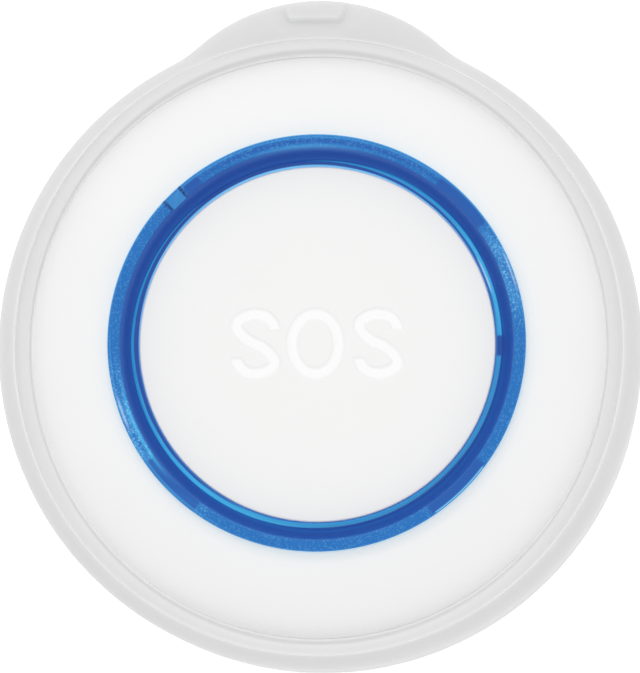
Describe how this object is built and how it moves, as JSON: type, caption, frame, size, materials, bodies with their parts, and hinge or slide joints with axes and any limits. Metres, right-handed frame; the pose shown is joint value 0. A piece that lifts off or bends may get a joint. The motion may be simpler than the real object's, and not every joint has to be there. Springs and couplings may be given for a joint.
{
  "type": "wireless panic button",
  "caption": "Round wireless panic button in a soft sleeve with a strap lug: a large press cap inside a clear blue light ring, and a coin-turned battery door behind.",
  "frame": {"origin": "on the cap's axis, in the plane of the flat back that the button lies on", "axes": "+Z out of the face towards the finger, +Y towards the strap lug, +X to the right seen from the front"},
  "size_m": [0.05, 0.0522, 0.0144],
  "materials": {
    "milky_rubber": "satin",
    "white_shell": "satin",
    "white_cap": "satin",
    "blue_ring": "clear gloss",
    "seal_rubber": "matte",
    "board": "satin",
    "black_plastic": "matte",
    "steel": "satin",
    "led_body": "gloss",
    "ceramic_part": "matte",
    "cell_can": "satin"
  },
  "bodies": {
    "housing": {"sleeve": "milky_rubber", "front_cover": "white_shell", "light_ring": "blue_ring", "return_dome": "seal_rubber", "circuit_board": "board", "switch_body": "black_plastic", "switch_cover": "steel", "led_1": "led_body", "led_2": "led_body", "led_3": "led_body", "led_4": "led_body", "radio_module": "steel", "controller_chip": "black_plastic", "chip_antenna": "ceramic_part", "crystal": "steel", "capacitors": "ceramic_part", "coin_cell": "cell_can", "contact_negative": "steel", "contact_positive": "steel", "rear_shell": "white_shell", "door_seal": "seal_rubber", "housing_seal": "seal_rubber", "housing_screws": "steel"},
    "button": {"button_cap": "white_cap"},
    "plunger": {"switch_plunger": "black_plastic"},
    "door": {"battery_door": "white_shell"}
  },
  "joints": [
    {"name": "button_press", "type": "slide", "parent": "housing", "child": "button", "axis": [0, 0, -1], "range_m": [0, 0.0004], "stiffness_N_per_m": 3000, "springref_m": -0.0005, "deforming": ["return_dome"]},
    {"name": "plunger_press", "type": "slide", "parent": "housing", "child": "plunger", "axis": [0, 0, -1], "range_m": [0, 0.0004]},
    {"name": "door_turn", "type": "hinge", "parent": "housing", "child": "door", "pos_m": [0, 0, 0], "axis": [0, 0, -1], "range_deg": [0, 35]}
  ],
  "couplings": [
    {"joint": "plunger_press", "follows": "button_press", "ratio": 1}
  ]
}
